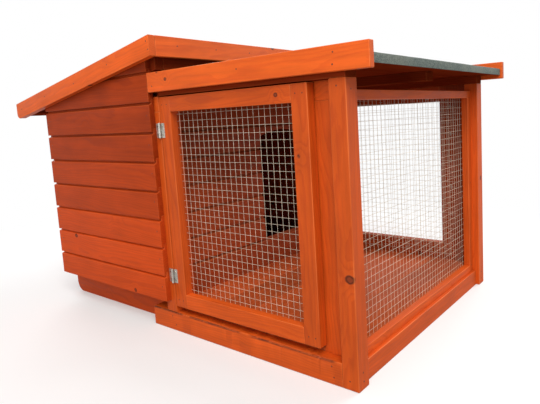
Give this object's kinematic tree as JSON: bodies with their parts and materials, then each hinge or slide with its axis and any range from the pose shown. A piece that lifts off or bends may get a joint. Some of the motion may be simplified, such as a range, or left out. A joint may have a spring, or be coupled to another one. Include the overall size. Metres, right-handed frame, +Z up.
{
  "type": "rabbit hutch",
  "caption": "Raised wooden rabbit hutch with a boarded sleeping house under a hinged sloping felt roof and a welded mesh run with a hinged mesh door.",
  "frame": {"origin": "bottom centre of the bounding box, on the surface the hutch stands on", "axes": "+X along the hutch's length, from the sleeping house to the mesh run's end; -Y is the front, with the mesh door; +Z up"},
  "size_m": [1.036, 0.6296, 0.5877],
  "materials": {
    "stained_timber": "satin",
    "stained_boards": "matte",
    "roofing_felt": "matte",
    "galvanised_mesh": "satin",
    "zinc_hardware": "satin",
    "catch_case": "matte"
  },
  "bodies": {
    "hutch": {"back_base_rail": "stained_timber", "back_bottom_rail": "stained_timber", "back_cladding": "stained_timber", "back_corner_post": "stained_timber", "back_left_stile": "stained_timber", "back_mesh": "galvanised_mesh", "back_right_stile": "stained_timber", "back_strip": "stained_timber", "back_top_rail": "stained_timber", "divider_boards": "stained_timber", "divider_posts": "stained_timber", "door_catch": "catch_case", "door_fixed_leaves": "zinc_hardware", "end_base_rail": "stained_timber", "end_bottom_rail": "stained_timber", "end_cladding": "stained_timber", "end_mesh": "galvanised_mesh", "end_stiles": "stained_timber", "end_top_rail": "stained_timber", "fixed_leaf_screws": "zinc_hardware", "floor_bearers": "stained_timber", "front_base_rail": "stained_timber", "front_cladding": "stained_timber", "front_corner_post": "stained_timber", "front_top_rail": "stained_timber", "gable_rails": "stained_timber", "high_wall_rail": "stained_timber", "hinge_pins": "zinc_hardware", "hinge_strip": "stained_timber", "house_floor": "stained_boards", "house_posts": "stained_timber", "house_sills": "stained_timber", "latch_strip": "stained_timber", "lid_fixed_leaves": "zinc_hardware", "low_wall_rail": "stained_timber", "roof_ledger": "stained_timber", "run_back_fascia": "stained_timber", "run_floor": "stained_boards", "run_front_fascia": "stained_timber", "run_roof_battens": "stained_timber", "run_roof_boards": "stained_boards", "run_roof_felt": "roofing_felt", "runners": "stained_timber"},
    "door": {"door_hinge_stile": "stained_timber", "door_latch_stile": "stained_timber", "door_bottom_rail": "stained_timber", "door_top_rail": "stained_timber", "door_mesh": "galvanised_mesh", "door_moving_leaves": "zinc_hardware", "door_leaf_screws": "zinc_hardware", "door_strike": "zinc_hardware"},
    "lid": {"lid_boards": "stained_boards", "lid_felt": "roofing_felt", "lid_front_barge_board": "stained_timber", "lid_back_barge_board": "stained_timber", "lid_high_fascia": "stained_timber", "lid_battens": "stained_timber", "lid_eave_batten": "stained_timber", "lid_moving_leaves": "zinc_hardware", "lid_leaf_screws": "zinc_hardware"}
  },
  "joints": [
    {"name": "door_hinge", "type": "hinge", "parent": "hutch", "child": "door", "pos_m": [0.03675, -0.2903, 0.264], "axis": [0, 0, -1], "range_deg": [0, 135]},
    {"name": "lid_hinge", "type": "hinge", "parent": "hutch", "child": "lid", "pos_m": [0.0379, 0, 0.5548], "axis": [0, 1, 0], "range_deg": [0, 70]}
  ]
}
